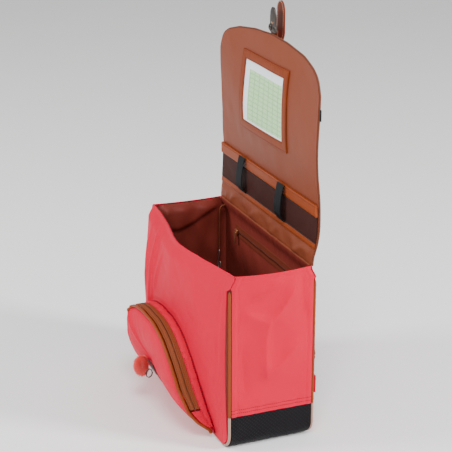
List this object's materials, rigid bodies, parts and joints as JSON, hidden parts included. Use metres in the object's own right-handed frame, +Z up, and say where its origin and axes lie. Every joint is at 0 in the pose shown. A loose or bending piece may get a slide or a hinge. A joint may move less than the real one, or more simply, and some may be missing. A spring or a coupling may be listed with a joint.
{
  "type": "school ransel",
  "caption": "Children's satchel backpack standing open, with an upright flap, timetable window, zipped front pocket and padded back.",
  "frame": {"origin": "middle of the base's flat underside, on the surface that the bag stands on", "axes": "+Z up, -Y out of the bag's front with its pocket, +X towards the right as seen from the front"},
  "size_m": [0.4023, 0.2638, 0.684],
  "materials": {
    "coral_nylon": "woven nylon with a soft sheen",
    "brown_lining": "thin woven lining",
    "terracotta_lining": "thin woven lining",
    "charcoal_fabric": "coarse twill weave, matte",
    "cognac_trim": "woven trim tape, satin",
    "cognac_leather": "smooth, semi-matte",
    "pale_piping": "satin bias binding",
    "brown_mesh": "fine net, matte",
    "black_elastic": "ribbed elastic, matte",
    "grey_webbing": "ribbed webbing, matte",
    "gunmetal": "dark satin plating",
    "clear_film": "clear, glossy",
    "timetable_paper": "matte",
    "pompom_yarn": "fluffy yarn",
    "black_plastic": "moulded, fine texture"
  },
  "bodies": {
    "root": {"front_panel": "coral_nylon", "side_left": "coral_nylon", "side_right": "coral_nylon", "base": "charcoal_fabric", "back_panel": "coral_nylon", "bag_lining": "brown_lining", "piping_front_left": "cognac_trim", "piping_front_right": "cognac_trim", "piping_front_base": "pale_piping", "piping_back_left": "cognac_trim", "piping_back_right": "cognac_trim", "piping_back_base": "pale_piping", "pocket_front": "coral_nylon", "pocket_gusset": "coral_nylon", "pocket_gusset_end_left": "coral_nylon", "pocket_gusset_end_right": "coral_nylon", "pocket_zip_tape": "cognac_trim", "pocket_piping": "cognac_trim", "pocket_zip_slider": "gunmetal", "pocket_zip_pull": "gunmetal", "clasp_webbing": "grey_webbing", "clasp_plate": "gunmetal", "clasp_loop": "gunmetal", "pompom_cord": "pompom_yarn", "pompom": "pompom_yarn", "flap_outer": "coral_nylon", "flap_lining": "terracotta_lining", "flap_piping": "brown_mesh", "hem_strip": "cognac_trim", "mesh_pocket": "brown_mesh", "mesh_binding": "cognac_trim", "elastic_left": "black_elastic", "elastic_right": "black_elastic", "window_frame": "cognac_leather", "window_film": "clear_film", "timetable_card": "timetable_paper", "edge_tab": "black_elastic", "closing_strap": "cognac_leather", "clasp_tab": "cognac_leather", "clasp_tongue": "gunmetal", "inner_zip_tape": "cognac_trim", "inner_zip_slider": "gunmetal", "inner_zip_pull": "gunmetal", "key_cord": "cognac_trim", "key_hook": "gunmetal", "back_pad": "charcoal_fabric", "shoulder_strap_left": "charcoal_fabric", "shoulder_strap_right": "charcoal_fabric", "strap_webbing_left": "grey_webbing", "strap_webbing_right": "grey_webbing", "strap_adjuster_left": "black_plastic", "strap_adjuster_right": "black_plastic", "strap_anchor_left": "coral_nylon", "strap_anchor_right": "coral_nylon", "carry_handle": "grey_webbing"}
  },
  "joints": []
}
